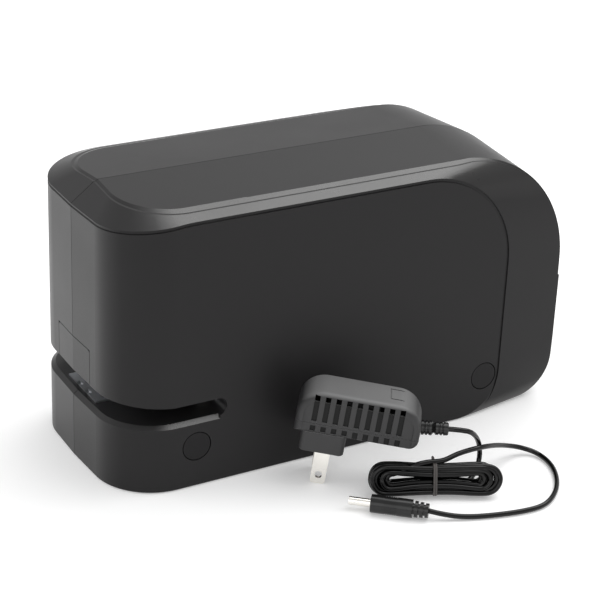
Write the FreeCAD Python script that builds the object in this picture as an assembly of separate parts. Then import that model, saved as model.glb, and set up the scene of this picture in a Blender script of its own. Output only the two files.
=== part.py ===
import FreeCAD, Part
import math
import os

# Electric desk stapler with its plug-in power adapter.  Millimetres, +Z up.
# Origin: on the desk, under the middle ridge of the front face.
# Front (paper side) looks to -Y, the length runs along +Y, left and right are -X and +X.

V = FreeCAD.Vector
os.makedirs("parts", exist_ok=True)

# ---- driving dimensions: casing -------------------------------------------------------------
LENGTH = 220.0          # front ridge to rear face
WIDTH = 91.6
HEIGHT = 124.5          # desk to the ridge of the roof
BODY_BOTTOM = 0.6       # underside of the casing, which stands on its feet
WALL = 2.5
HALF = WIDTH / 2
ROOF_DROP = 2.3         # fall of the roof from its ridge to the groove at each side
FRONT_VEE = math.radians(1.95)      # each half of the front leans back this much
CORNER_R = 25.5         # front corners, seen from above
REAR_TOP_R = 53.5
REAR_BOTTOM_R = 19.0
SEAM_HALF = 0.12        # half of the gap between the two shells

EDGE_Z = HEIGHT - ROOF_DROP
BEVEL_IN = 8.0          # bevel on the long sides: width inwards and its lower edge
BEVEL_Z = 119.5
FRONT_BEVEL_IN = 8.1
FRONT_BEVEL_Z = 115.9
SPLIT_Y = 60.0          # the front and rear thirds of a shell are made separately and fused
PANEL_REAR = 187.0      # rear edge of the flat side panel, where the angled rear band begins
PANEL_TOP_R = 45.0
PANEL_BOTTOM_R = 21.0
BAND_REAR = 253.0       # where the band's surface would run to, in the plane of the bevel's top
BAND_TOP_R = 86.0
BAND_BOTTOM_R = 40.0
GROOVE = 0.8            # groove round the roof
RIM_GROOVE = 1.3        # groove under the bevel, round the side panel

# ---- throat that takes the paper ----------------------------------------------------------
THROAT_END = 48.7
TABLE_Z = 31.0          # upper face of the base, inside the throat
RIM_Z = 29.5            # outer edge of the base, below its sloping rim
RIM_IN = 2.0
HEAD_Z = 39.0           # underside of the head
HEAD_FRONT_Z = 40.9
HEAD_FLARE_Y = 25.0
HEAD_FLOOR = 42.2       # inside of the head's lower wall

# ---- magazine, driver and drive -------------------------------------------------------------
DRAWER_HALF = 15.5
DRAWER_TOP = 56.7
FIT = 0.3               # gap round the drawer front
CHANNEL_HALF = 8.0
CHANNEL_Z = 43.4
CHANNEL_TOP = 51.4
CHANNEL_REAR = 118.0
BLADE_Y = 4.4           # front face of the driver blade
BLADE_T = 0.65
STROKE = 18.6
FRAME_IN = 18.5         # inner faces of the two frame plates
FRAME_T = 1.5
ARM_PIVOT = (125.0, 60.8)
RAM_PIN = (12.0, 77.8)
ROLLER = (80.0, 78.8)
ROLLER_R = 6.0
CAM = (80.0, 98.8)
CAM_TURN = math.radians(300.0)
CAM_GAP = 0.15
GEAR_X = 21.5           # inner face of the gear train, outside the right frame plate

# ---- screws and feet ------------------------------------------------------------------------
SCREWS = [(35.0, 19.0), (178.5, 19.5)]      # y, z of the screws that join the shells
CAP_R = 6.2
CAP_RECESS_R = 6.6
FEET = [(sx * 31.0, y) for sx in (-1, 1) for y in (34.0, 184.0)]

# ---- power adapter and cord ----------------------------------------------------------------
AD_X = 54.6             # middle of the adapter's front lower edge
AD_Y = 76.2
AD_YAW = 34.0           # degrees its length is turned from +Y towards +X
AD_TILT = 7.0           # degrees its far end hangs lower
AD_LEN = 51.8
AD_H = 19.2
AD_HALF = 10.2
AD_EDGE = 3.0           # rounding between its top and its two ribbed sides
AD_WALL = 1.8
SEAM_V = 4.9            # height of the line between the adapter's two halves
PANEL_DEPTH = 0.5       # the ribbed panels lie this much below the rim round them
PANEL_IN = 3.0
PANEL_V = 15.6
RIB_START = 6.5
RIB_PITCH = 4.43
RIB_COUNT = 9
BLOCK_U = 3.4           # plug block that carries the blades: start, length and depth
BLOCK_LEN = 18.8
BLOCK_H = 8.4
BLADE_LEN = 15.9
BLADE_W = 6.35
BLADE_T_PLUG = 1.5
BLADE_PITCH = 12.7
BLADE_U = 10.5
RELIEF_LEN = 11.8
EXIT_V = 6.6
CORD_D = 2.3
HANK_MID = (94.98, 120.8, 7.6)      # middle of the wound-up cord, which stands on its edge
HANK_DIR = (0.428, 0.9038)
HANK_LEAN = 15.0        # degrees its top leans away from the front
HANK_LEN = 55.6
HANK_H = 12.8
HANK_T = 8.6
PLUG_END = (110.8, 107.9, 3.9)
PLUG_DIR = (-0.657, -0.754, 0.0)
PLUG_R = 3.8
JACK_X, JACK_Z = -20.0, 32.0        # DC socket in the rear wall


# ---- small helpers --------------------------------------------------------------------------
def box(x0, x1, y0, y1, z0, z1):
    return Part.makeBox(x1 - x0, y1 - y0, z1 - z0, V(x0, y0, z0))


def rod_x(y, z, r, x0, x1):
    return Part.makeCylinder(r, x1 - x0, V(x0, y, z), V(1, 0, 0))


def rod_y(x, z, r, y0, y1):
    return Part.makeCylinder(r, y1 - y0, V(x, y0, z), V(0, 1, 0))


def rod_z(x, y, r, z0, z1):
    return Part.makeCylinder(r, z1 - z0, V(x, y, z0), V(0, 0, 1))


def plate_yz(points, x0, x1):
    """A flat plate: polygon in the YZ plane, from x0 to x1."""
    loop = [V(x0, y, z) for y, z in points]
    return Part.Face(Part.makePolygon(loop + [loop[0]])).extrude(V(x1 - x0, 0, 0))


def fuse(*shapes):
    out = shapes[0]
    for other in shapes[1:]:
        out = out.fuse(other)
    return out.removeSplitter()


def mirrored(shape):
    return shape.mirror(V(0, 0, 0), V(1, 0, 0))


def spring(r, wire_r, length, turns, start, axis):
    """A helical spring whose axis runs from start along axis."""
    helix = Part.makeHelix(length / turns, length, r)
    section = Part.Wire(Part.makeCircle(wire_r, V(r, 0, 0), V(0, 1, length / turns / (2 * math.pi * r))))
    coil = Part.Wire(helix).makePipeShell([section], True, True)
    coil.Placement = FreeCAD.Placement(start, FreeCAD.Rotation(V(0, 0, 1), axis))
    return coil


# ---- casing ---------------------------------------------------------------------------------
def rounded_outline(x, front, rear, bottom, top, r_top, r_bottom):
    """Closed outline in the plane at x, with its two rear corners rounded."""
    k = math.sqrt(0.5)
    a, b = V(x, front, bottom), V(x, front, top)
    c, d = V(x, rear - r_top, top), V(x, rear, top - r_top)
    e, f = V(x, rear, bottom + r_bottom), V(x, rear - r_bottom, bottom)
    mid_top = V(x, rear - r_top + r_top * k, top - r_top + r_top * k)
    mid_bottom = V(x, rear - r_bottom + r_bottom * k, bottom + r_bottom - r_bottom * k)
    return Part.Wire([
        Part.makeLine(a, b), Part.makeLine(b, c), Part.Arc(c, mid_top, d).toShape(),
        Part.makeLine(d, e), Part.Arc(e, mid_bottom, f).toShape(), Part.makeLine(f, a)])


def plan_outline(z, front, half, corner, rear):
    """Right half of the plan: shallow vee at the front, then the rounded front corner."""
    s, c, t = math.sin(FRONT_VEE), math.cos(FRONT_VEE), math.tan(FRONT_VEE)
    cx = half - corner
    cy = front + cx * t + corner / c
    half_turn = (FRONT_VEE - math.pi / 2) / 2
    p0, p1 = V(0, front, z), V(cx + corner * s, cy - corner * c, z)
    p2 = V(cx + corner * math.cos(half_turn), cy + corner * math.sin(half_turn), z)
    p3, p4, p5 = V(half, cy, z), V(half, rear, z), V(0, rear, z)
    return Part.Wire([
        Part.makeLine(p0, p1), Part.Arc(p1, p2, p3).toShape(),
        Part.makeLine(p3, p4), Part.makeLine(p4, p5), Part.makeLine(p5, p0)])


def side_solid(t):
    """Side view of the body with the falling roof, right half, all faces moved in by t."""
    reach = HALF + 4
    fall = ROOF_DROP * reach / (HALF - BEVEL_IN)
    bottom = BODY_BOTTOM + t
    ridge = rounded_outline(0, -20, LENGTH - t, bottom, HEIGHT - t, REAR_TOP_R - t, REAR_BOTTOM_R - t)
    side = rounded_outline(reach, -20, LENGTH - t - 1.5, bottom, HEIGHT - t - fall,
                           REAR_TOP_R - t, REAR_BOTTOM_R - t)
    return Part.makeLoft([ridge, side], True, True)


def plan_solid(t):
    face = Part.Face(plan_outline(-5, t, HALF - t, CORNER_R - t, 260))
    return face.extrude(V(0, 0, 150))


def bevel_outline(z, t):
    """Outline of the front and side bevels at height z, before they are moved down by t."""
    front = FRONT_BEVEL_IN * (z - FRONT_BEVEL_Z) / (EDGE_Z - FRONT_BEVEL_Z)
    half = HALF - BEVEL_IN * (z - BEVEL_Z) / (EDGE_Z - BEVEL_Z)
    corner = 36.0 - 2.0 * (z - FRONT_BEVEL_Z)
    return plan_outline(z - t, front + t, half - t, corner, 160)


def band_solid(t):
    """Side bevel and the wide angled band that it turns into at the rear."""
    low, x_in = BODY_BOTTOM + t, HALF - BEVEL_IN - t
    panel = rounded_outline(HALF - t, SPLIT_Y, PANEL_REAR - t, low, BEVEL_Z - t,
                            PANEL_TOP_R, PANEL_BOTTOM_R)
    inner = rounded_outline(x_in, SPLIT_Y, BAND_REAR - t, low, EDGE_Z - t, BAND_TOP_R, BAND_BOTTOM_R)
    return Part.makeLoft([inner, panel], True, True)


def outer_half(t):
    """Right half of the whole body as one solid, with every face moved in by t."""
    side = side_solid(t)
    front = side.common(plan_solid(t)).common(box(0, 60, -5, SPLIT_Y, -5, 140))
    low = front.common(box(0, 60, -5, 70, -5, FRONT_BEVEL_Z - t))
    bevels = Part.makeLoft([bevel_outline(FRONT_BEVEL_Z, t), bevel_outline(129, t)], True, True)
    rear = side.common(box(0, HALF - BEVEL_IN - t, SPLIT_Y, 240, -5, 140))
    band = side.common(band_solid(t))
    return fuse(low, front.common(bevels), rear, band)


def roof_groove():
    """Thin strip along the edge of the roof and down the rear, to be cut from a shell."""
    skin = side_solid(0).cut(side_solid(GROOVE))
    near = Part.makeLoft([bevel_outline(FRONT_BEVEL_Z, 0), bevel_outline(129, 0)], True, True)
    inner = near.copy()
    inner.translate(V(-GROOVE, GROOVE, 0))
    front = skin.common(near).cut(inner).common(box(0, 60, -5, SPLIT_Y, 100, 140))
    keep = fuse(band_solid(0), box(0, HALF - BEVEL_IN, SPLIT_Y, 260, -5, 140))
    inset = keep.copy()
    inset.translate(V(-GROOVE, 0, 0))
    rear = skin.common(keep).cut(inset).common(box(0, 60, SPLIT_Y, 240, 60, 140))
    return fuse(front, rear)


def rim_groove():
    """Shallow groove just under the bevel, round the front and round the side panel."""
    depth, gap = 0.5, 0.3
    top = BEVEL_Z - gap
    outer = rounded_outline(HALF - depth, SPLIT_Y, PANEL_REAR - gap, BODY_BOTTOM - 9, top,
                            PANEL_TOP_R, PANEL_BOTTOM_R + 9)
    inner = rounded_outline(HALF - depth, SPLIT_Y - 1, PANEL_REAR - gap - RIM_GROOVE,
                            BODY_BOTTOM - 10, top - RIM_GROOVE,
                            PANEL_TOP_R - RIM_GROOVE, PANEL_BOTTOM_R + 9 - RIM_GROOVE)
    side = Part.Face(outer).extrude(V(2, 0, 0)).cut(Part.Face(inner).extrude(V(2, 0, 0)))
    skin = plan_solid(0).cut(plan_solid(depth)).common(box(0, 60, -5, SPLIT_Y, 100, 130))
    cone = Part.makeLoft([bevel_outline(110, 0), bevel_outline(129, 0)], True, True)
    upper, lower = cone.copy(), cone.copy()
    upper.translate(V(0, 0, -gap))
    lower.translate(V(0, 0, -gap - RIM_GROOVE))
    return [side, skin.common(upper).cut(lower)]


def throat_cut():
    """Paper slot: right through from side to side, open to the front, with a rounded end."""
    r = (HEAD_Z - TABLE_Z) / 2
    end = THROAT_END - r
    mid = (HEAD_Z + TABLE_Z) / 2
    lip = HEAD_FRONT_Z + 0.4
    pts = [V(-80, -5, TABLE_Z), V(-80, -5, lip), V(-80, HEAD_FLARE_Y, HEAD_Z), V(-80, end, HEAD_Z),
           V(-80, THROAT_END, mid), V(-80, end, TABLE_Z)]
    wire = Part.Wire([
        Part.makeLine(pts[0], pts[1]), Part.makeLine(pts[1], pts[2]), Part.makeLine(pts[2], pts[3]),
        Part.Arc(pts[3], pts[4], pts[5]).toShape(), Part.makeLine(pts[5], pts[0])])
    return Part.Face(wire).extrude(V(160, 0, 0))


def rim_cut():
    """What the sloping rim of the base leaves free, right half."""
    slab = box(0, 60, -5, THROAT_END - 3, RIM_Z, TABLE_Z + 0.5)
    rise = TABLE_Z + 1 - RIM_Z
    inset = RIM_IN * rise / (TABLE_Z - RIM_Z)
    keep = Part.makeLoft([
        plan_outline(RIM_Z, 0, HALF, CORNER_R, 90),
        plan_outline(RIM_Z + rise, inset, HALF - inset, CORNER_R - inset, 90)], True, True)
    return slab.cut(keep)


def cavity_half():
    """Hollow inside the right half: closed off round the throat by the shell's wall."""
    wall_block = box(-1, 60, -10, THROAT_END + WALL, TABLE_Z - WALL, HEAD_FLOOR)
    return outer_half(WALL).cut(wall_block)


def shell_half():
    """Right shell before the holes that only one shell has."""
    shell = outer_half(0).cut(cavity_half())
    shell = shell.cut(roof_groove())
    for groove in rim_groove():
        shell = shell.cut(groove)
    shell = shell.cut(throat_cut()).cut(rim_cut())
    shell = shell.cut(box(-1, DRAWER_HALF + FIT, -3, 8, 35, DRAWER_TOP + FIT))
    for y, z in SCREWS:
        shell = shell.fuse(rod_x(y, z, 5.0, 0, HALF - 1))
    for y in (75.0, 165.0):
        shell = shell.fuse(rod_z(24, y, 3.0, BODY_BOTTOM + 1, 16.0))
    shell = shell.cut(box(-1, SEAM_HALF, -10, 240, -5, 140))
    for x, y in FEET:
        shell = shell.cut(rod_z(abs(x), y, 6.3, -1, 2.0))
    shell = shell.cut(box(-1, 7.3, LENGTH - 10, LENGTH + 2, 41.9, 52.1))
    return shell.removeSplitter()


def right_shell(base):
    shell = base
    for y, z in SCREWS:
        shell = shell.cut(rod_x(y, z, CAP_RECESS_R, HALF - 2.2, HALF + 1))
        shell = shell.cut(rod_x(y, z, 3.3, 36.0, HALF))
        shell = shell.cut(rod_x(y, z, 1.8, -1, 37.0))
    trigger_slot = box(23.2, 28.8, 40, 58, TABLE_Z, HEAD_FLOOR + 1)
    finger_slot = box(23.2, 28.8, 43.5, 54, TABLE_Z - 3, TABLE_Z)
    return shell.cut(trigger_slot).cut(finger_slot).removeSplitter()


def left_shell(base):
    shell = mirrored(base)
    for y, z in SCREWS:
        shell = shell.cut(rod_x(y, z, 1.3, -30.0, 1))
    return shell.cut(rod_y(JACK_X, JACK_Z, 4.0, LENGTH - 8, LENGTH + 2)).removeSplitter()


def screw_covers():
    return [rod_x(y, z, CAP_R, HALF - 2.1, HALF - 0.1) for y, z in SCREWS]


def case_screws():
    out = []
    for y, z in SCREWS:
        head = rod_x(y, z, 2.9, 36.0, 38.4).cut(rod_x(y, z, 1.2, 37.2, 39))
        out.append(fuse(head, rod_x(y, z, 1.3, -22.0, 36.0)))
    return out


def rubber_feet():
    return [fuse(rod_z(x, y, 6.1, 0.4, 2.0), rod_z(x, y, 5.5, 0, 0.4)) for x, y in FEET]


# ---- base: anvil and nose ------------------------------------------------------------------
def anvil():
    """Steel crimping plate let into the base under the driver, with its two staple grooves."""
    plate = box(-14, 14, 4, 26, TABLE_Z - 0.8, TABLE_Z + 0.7)
    for side in (-1, 1):
        groove = Part.makeCylinder(2.6, 1.8, V(side * 4.2, BLADE_Y - 0.5, TABLE_Z + 2.6), V(0, 1, 0))
        plate = plate.cut(groove)
    return plate


def anvil_seat():
    return box(-14, 14, 4, 26, TABLE_Z - 0.8, TABLE_Z + 1)


def nose_plate():
    """Bright steel plate under the head; the magazine slides out above it."""
    plate = box(-32, 32, 5.5, 34, HEAD_Z - 0.9, HEAD_Z)
    corners = [e for e in plate.Edges if abs(e.Vertexes[0].Point.z - e.Vertexes[-1].Point.z) > 0.5]
    return plate.makeFillet(7.0, [e for e in corners if e.Vertexes[0].Point.y < 8])


# ---- magazine drawer ----------------------------------------------------------------------
def magazine_front():
    """Front of the drawer: closes the opening and follows the vee of the front face."""
    lean = DRAWER_HALF * math.tan(FRONT_VEE)
    loop = [V(0, 0, 41.2), V(DRAWER_HALF, lean, 41.2), V(DRAWER_HALF, 3.3, 41.2),
            V(-DRAWER_HALF, 3.3, 41.2), V(-DRAWER_HALF, lean, 41.2)]
    front = Part.Face(Part.makePolygon(loop + [loop[0]])).extrude(V(0, 0, DRAWER_TOP - 41.2))
    upper = [e for e in front.Edges
             if e.BoundBox.XLength < 0.01 and abs(abs(e.BoundBox.XMin) - DRAWER_HALF) < 0.01
             and abs(e.BoundBox.ZMin - DRAWER_TOP) < 0.01]
    return front.makeFillet(1.6, upper) if upper else front


def magazine_channel():
    """Steel channel that carries the staples, with the catch window at its rear."""
    inner = CHANNEL_HALF - 1.0
    floor = box(-CHANNEL_HALF, CHANNEL_HALF, 5.4, CHANNEL_REAR, CHANNEL_Z, CHANNEL_Z + 0.8)
    walls = [box(min(a, b), max(a, b), 3.3, CHANNEL_REAR, CHANNEL_Z, CHANNEL_TOP)
             for a, b in ((inner, CHANNEL_HALF), (-inner, -CHANNEL_HALF))]
    end = box(-CHANNEL_HALF, CHANNEL_HALF, CHANNEL_REAR - 1, CHANNEL_REAR, CHANNEL_Z, CHANNEL_TOP)
    tab = box(-4.5, 4.5, CHANNEL_REAR - 1, CHANNEL_REAR + 10.5, CHANNEL_Z, CHANNEL_Z + 0.8)
    front_tie = box(-inner, inner, 5.4, 6.0, CHANNEL_Z, CHANNEL_Z + 1.0)
    channel = fuse(floor, walls[0], walls[1], end, tab, front_tie)
    channel = channel.cut(box(-3.3, 3.3, CHANNEL_REAR + 1.6, CHANNEL_REAR + 8.5, 40, 46))
    return channel.cut(rod_y(0, 47.5, 1.2, CHANNEL_REAR - 2, CHANNEL_REAR + 1)).removeSplitter()


def staple_strip():
    """A full half-strip of staples, glued side by side, legs down."""
    first, last = BLADE_Y + BLADE_T + 0.3, 57.0
    strip = box(-6.4, 6.4, first, last, 44.6, 51.2).cut(box(-5.9, 5.9, 0, 60, 44, 50.7))
    for i in range(1, 17):
        y = first + i * (last - first) / 17
        strip = strip.cut(box(-7, 7, y, y + 0.15, 51.1, 52))
    return strip


def staple_pusher():
    block = box(-6.7, 6.7, 57.3, 67.0, 44.5, 51.0)
    return block.cut(rod_y(0, 47.5, 1.4, 50, 70))


def pusher_rod():
    return rod_y(0, 47.5, 1.2, 5.6, CHANNEL_REAR)


def pusher_spring():
    return spring(2.4, 0.35, 48.5, 14, V(0, 67.7, 47.5), V(0, 1, 0))


def magazine_guide():
    """Fixed sheet-steel guide between the frame plates, in which the drawer runs."""
    floor = box(-FRAME_IN, FRAME_IN, 9, 121, HEAD_FLOOR + 0.1, CHANNEL_Z - 0.3)
    walls = [box(min(a, b), max(a, b), 9, 112, HEAD_FLOOR + 0.1, 52.4)
             for a, b in ((8.4, 9.4), (-8.4, -9.4))]
    return fuse(floor, walls[0], walls[1])


# ---- catch and release --------------------------------------------------------------------
LATCH_PIVOT = (140.0, 58.8)
ROD_Z = 46.8
NOSE_LIFT = 3.0


def magazine_latch():
    """Catch lever, shown lifted: its nose stands just above the window in the channel."""
    low = CHANNEL_Z + 0.8 + 1.0
    pts = [(120.4, low), (123.4, low), (124.2, 49.0), (137.0, 52.5), (137.0, 44.0), (143.0, 44.0),
           (143.6, 58.8), (140.0, 62.4), (136.4, 58.8), (135.0, 56.0), (121.5, 53.5)]
    lever = plate_yz(pts, -3.0, 3.0)
    return lever.cut(rod_x(LATCH_PIVOT[0], LATCH_PIVOT[1], 1.55, -5, 5))


def release_button():
    cap = box(-7, 7, LENGTH - 6, LENGTH - 2.2, 42.2, 51.8)
    stem = box(-5, 5, LENGTH - 8, LENGTH - 6, 44, 50)
    return fuse(cap, stem)


def release_rod():
    return rod_y(0, ROD_Z, 2.0, 143.6, LENGTH - 8)


# ---- driver and hammer arm ----------------------------------------------------------------
def arm_at(s):
    """Turn of the hammer arm, in radians, when the ram has come down by s."""
    return s / (ARM_PIVOT[0] - RAM_PIN[0])


def driver_blade():
    return box(-6.3, 6.3, BLADE_Y, BLADE_Y + BLADE_T, CHANNEL_TOP, 83.0)


def ram_carrier():
    block = box(-7.0, 7.0, BLADE_Y + BLADE_T, 17.0, 71.0, 85.0)
    return block.cut(rod_x(RAM_PIN[0], RAM_PIN[1], 2.5, -8, 8))


def ram_pin():
    return rod_x(RAM_PIN[0], RAM_PIN[1], 2.5, -13.6, 13.6)


def driver_guide_plate():
    plate = box(-20, 20, 3.4, 4.2, 57.6, 108)
    return plate.cut(rod_y(-16, 104, 1.5, 0, 9)).cut(rod_y(16, 104, 1.5, 0, 9))


def ram_guides():
    out = []
    for x0, x1 in ((-9.8, -7.3), (7.3, 9.8)):
        post = box(x0, x1, 4.2, 18.0, 53.4, 105)
        slot_low, slot_high = RAM_PIN[1] - STROKE - 3.2, RAM_PIN[1] + 3.2
        out.append(post.cut(box(x0 - 1, x1 + 1, 8.8, 15.2, slot_low, slot_high)))
    return out


def hammer_arm():
    """Two side plates joined by webs: slotted eye at the front, roller bracket, rear pivot."""
    y, z = RAM_PIN
    side = [(7.2, z - 6), (7.2, z + 6), (58, 86.5), (86, 86.5), (92, 80), (131, 67), (132.5, 56),
            (120, 54), (84, 69.5), (40, 70.5)]
    arm = None
    for x0, x1 in ((-13.0, -10.5), (10.5, 13.0)):
        plate = plate_yz(side, x0, x1)
        arm = plate if arm is None else arm.fuse(plate)
    arm = arm.fuse(box(-13, 13, 30, 54, 80.5, 83.0)).fuse(box(-13, 13, 103, 112, 66.0, 68.5))
    slot_r, slot_run = 2.85, 1.35
    slot = fuse(rod_x(y, z, slot_r, -14, 14), rod_x(y + slot_run, z, slot_r, -14, 14),
                box(-14, 14, y, y + slot_run, z - slot_r, z + slot_r))
    arm = arm.cut(slot).cut(rod_x(ROLLER[0], ROLLER[1], 2.5, -14, 14))
    arm = arm.cut(rod_x(ARM_PIVOT[0], ARM_PIVOT[1], 3.05, -14, 14))
    return arm.cut(rod_z(0, 108, 1.0, 60, 75)).removeSplitter()


def arm_roller():
    ring = rod_x(ROLLER[0], ROLLER[1], ROLLER_R, -5, 5)
    return ring.cut(rod_x(ROLLER[0], ROLLER[1], 2.55, -6, 6))


def roller_axle():
    return rod_x(ROLLER[0], ROLLER[1], 2.5, -13.6, 13.6)


def arm_return_spring():
    return spring(3.4, 0.5, 34.0, 11, V(0, 108, 70.5), V(0, 0, 1))


def pivot_pins():
    return [rod_x(ARM_PIVOT[0], ARM_PIVOT[1], 3.0, -20, 20),
            rod_x(LATCH_PIVOT[0], LATCH_PIVOT[1], 1.5, -20, 20),
            rod_x(TRIGGER_PIVOT[0], TRIGGER_PIVOT[1], 1.5, 20.0, 31.5)]


# ---- cam and gear train -------------------------------------------------------------------
def roller_place(turn):
    """Roller centre, from the cam's axis, once the cam has turned by this much."""
    a = arm_at(STROKE) * turn / CAM_TURN
    dy, dz = ROLLER[0] - ARM_PIVOT[0], ROLLER[1] - ARM_PIVOT[1]
    y = ARM_PIVOT[0] + dy * math.cos(a) - dz * math.sin(a)
    z = ARM_PIVOT[1] + dy * math.sin(a) + dz * math.cos(a)
    return y - CAM[0], z - CAM[1]


def cam():
    """Constant-rise cam: pushes the roller down evenly over 300 degrees, then lets it return."""
    radii, angles = [], []
    for i in range(31):
        turn = CAM_TURN * i / 30
        y, z = roller_place(turn)
        radii.append(math.hypot(y, z) - ROLLER_R - CAM_GAP)
        angles.append(math.atan2(z, y) + turn)
    start, end = angles[0], angles[-1]
    rise = [V(-4, CAM[0] + r * math.cos(a), CAM[1] + r * math.sin(a)) for r, a in zip(radii, angles)]
    curve = Part.BSplineCurve()
    curve.interpolate(rise)
    low = radii[0]
    drop_end = start + 2 * math.pi - math.radians(24)
    corner = V(-4, CAM[0] + low * math.cos(drop_end), CAM[1] + low * math.sin(drop_end))
    dwell_mid = drop_end + math.radians(12)
    dwell = V(-4, CAM[0] + low * math.cos(dwell_mid), CAM[1] + low * math.sin(dwell_mid))
    outline = Part.Wire([curve.toShape(), Part.makeLine(rise[-1], corner),
                         Part.Arc(corner, dwell, rise[0]).toShape()])
    assert end < drop_end
    disc = Part.Face(outline).extrude(V(8, 0, 0))
    hub = rod_x(CAM[0], CAM[1], 7.5, -8, 8)
    return disc.fuse(hub).cut(rod_x(CAM[0], CAM[1], 4.0, -9, 9)).removeSplitter()


def cam_shaft():
    return rod_x(CAM[0], CAM[1], 4.0, -24.0, GEAR_X + 6.0)


def cam_bushes():
    out = []
    for side in (-1, 1):
        a, b = sorted((side * (FRAME_IN - 1.0), side * (FRAME_IN + FRAME_T + 0.6)))
        bush = rod_x(CAM[0], CAM[1], 6.0, a, b)
        c, d = sorted((side * (FRAME_IN - 1.0), side * FRAME_IN))
        bush = bush.fuse(rod_x(CAM[0], CAM[1], 7.5, c, d))
        out.append(bush.cut(rod_x(CAM[0], CAM[1], 4.05, -30, 30)).removeSplitter())
    return out


ADDENDUM = 0.75
DEDENDUM = 1.10
TOOTH = 0.40            # tooth thickness on the pitch circle, as a share of the pitch
PRESSURE = math.radians(20)


def involute(angle):
    return math.tan(angle) - angle


def gear_disc(module, teeth, x0, x1, centre, phase):
    """Spur gear with involute flanks; a tooth is centred on the direction phase."""
    pitch_r = module * teeth / 2
    base_r = pitch_r * math.cos(PRESSURE)
    root_r, tip_r = pitch_r - DEDENDUM * module, pitch_r + ADDENDUM * module
    half_pitch = TOOTH * math.pi * module / (2 * pitch_r)

    def half_angle(r):
        if r <= base_r:
            return half_pitch + involute(PRESSURE)
        return half_pitch + involute(PRESSURE) - involute(math.acos(base_r / r))

    start = max(root_r, base_r)
    radii = [root_r] + [start + (tip_r - start) * k / 3 for k in range(0 if start > root_r else 1, 4)]
    points = []
    for i in range(teeth):
        mid = phase + 2 * math.pi * i / teeth
        flank = [(r, half_angle(r)) for r in radii]
        for r, a in flank:
            points.append((r, mid - a))
        for r, a in reversed(flank):
            points.append((r, mid + a))
    loop = [(centre[0] + r * math.cos(a), centre[1] + r * math.sin(a)) for r, a in points]
    return plate_yz(loop, x0, x1)


def along(start, distance, degrees):
    a = math.radians(degrees)
    return (start[0] + distance * math.cos(a), start[1] + distance * math.sin(a))


# stage: module, teeth of the driven gear, teeth of its pinion, direction to the pinion
STAGES = [(0.8, 48, 12, -5.0), (0.6, 50, 12, -10.0), (0.5, 54, 12, -8.0)]
CENTRES = [CAM]
for stage_module, driven, driver, direction in STAGES:
    CENTRES.append(along(CENTRES[-1], stage_module * (driven + driver) / 2, direction))


def pinion_phase(stage):
    """A gap of the pinion faces the driven gear, whose tooth points along the line of centres."""
    _, _, driver, direction = STAGES[stage]
    return math.radians(direction) + math.pi + math.pi / driver


def driven_phase(stage):
    return math.radians(STAGES[stage][3])


def cam_gear():
    disc = gear_disc(0.8, 48, GEAR_X, GEAR_X + 5, CENTRES[0], driven_phase(0))
    for i in range(5):
        y, z = along(CENTRES[0], 11.5, 72 * i)
        disc = disc.cut(rod_x(y, z, 3.6, GEAR_X - 1, GEAR_X + 6))
    return disc.cut(rod_x(CAM[0], CAM[1], 4.0, GEAR_X - 1, GEAR_X + 6))


def second_gear():
    small = gear_disc(0.8, 12, GEAR_X, GEAR_X + 5.5, CENTRES[1], pinion_phase(0))
    large = gear_disc(0.6, 50, GEAR_X + 6, GEAR_X + 9.5, CENTRES[1], driven_phase(1))
    y, z = CENTRES[1]
    gear = fuse(small, large, rod_x(y, z, 3.4, GEAR_X, GEAR_X + 9.5))
    return gear.cut(rod_x(y, z, 2.05, GEAR_X - 1, GEAR_X + 12))


def first_gear():
    small = gear_disc(0.6, 12, GEAR_X + 6, GEAR_X + 10, CENTRES[2], pinion_phase(1))
    large = gear_disc(0.5, 54, GEAR_X + 10.5, GEAR_X + 13.5, CENTRES[2], driven_phase(2))
    y, z = CENTRES[2]
    gear = fuse(small, large, rod_x(y, z, 2.6, GEAR_X + 6, GEAR_X + 13.5))
    return gear.cut(rod_x(y, z, 1.55, GEAR_X, GEAR_X + 15))


def motor_pinion():
    disc = gear_disc(0.5, 12, GEAR_X + 10.5, GEAR_X + 14, CENTRES[3], pinion_phase(2))
    return disc.cut(rod_x(CENTRES[3][0], CENTRES[3][1], 1.0, GEAR_X, GEAR_X + 15))


def gear_axles():
    (y1, z1), (y2, z2) = CENTRES[1], CENTRES[2]
    return [rod_x(y1, z1, 2.0, FRAME_IN, 38.5), rod_x(y2, z2, 1.5, FRAME_IN, 38.5)]


MOTOR_R = 16.0


def motor_can():
    """Motor body: steel can with end cap and two terminals."""
    y, z = CENTRES[3]
    can = rod_x(y, z, MOTOR_R, -20.0, FRAME_IN)
    cap = rod_x(y, z, MOTOR_R - 1.5, -23.5, -20.0)
    nose = rod_x(y, z, 5.0, FRAME_IN, FRAME_IN + FRAME_T)
    tags = [box(-26.5, -23.5, y - 1.5, y + 1.5, z + dz - 0.4, z + dz + 0.4) for dz in (-9, 9)]
    body = fuse(can, cap, nose, tags[0], tags[1])
    return body.cut(rod_x(y, z, 1.08, -30, 30))


def motor_shaft():
    return rod_x(CENTRES[3][0], CENTRES[3][1], 1.0, -25.0, GEAR_X + 14.5)


# ---- frame --------------------------------------------------------------------------------
SPACERS = [(22.0, 107.5), (112.0, 110.0), (68.0, 33.0), (132.0, 33.0)]
STANDOFFS = [(56.5, 90.0), (100.0, 73.0), (156.0, 108.0), (122.0, 112.5)]


def frame_holes(plate, x0, x1):
    for y, z in SPACERS:
        plate = plate.cut(rod_x(y, z, 1.5, x0, x1))
    plate = plate.cut(rod_x(CAM[0], CAM[1], 6.0, x0, x1))
    for (y, z), r in ((ARM_PIVOT, 3.0), (LATCH_PIVOT, 1.5)):
        plate = plate.cut(rod_x(y, z, r, x0, x1))
    return plate


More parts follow.
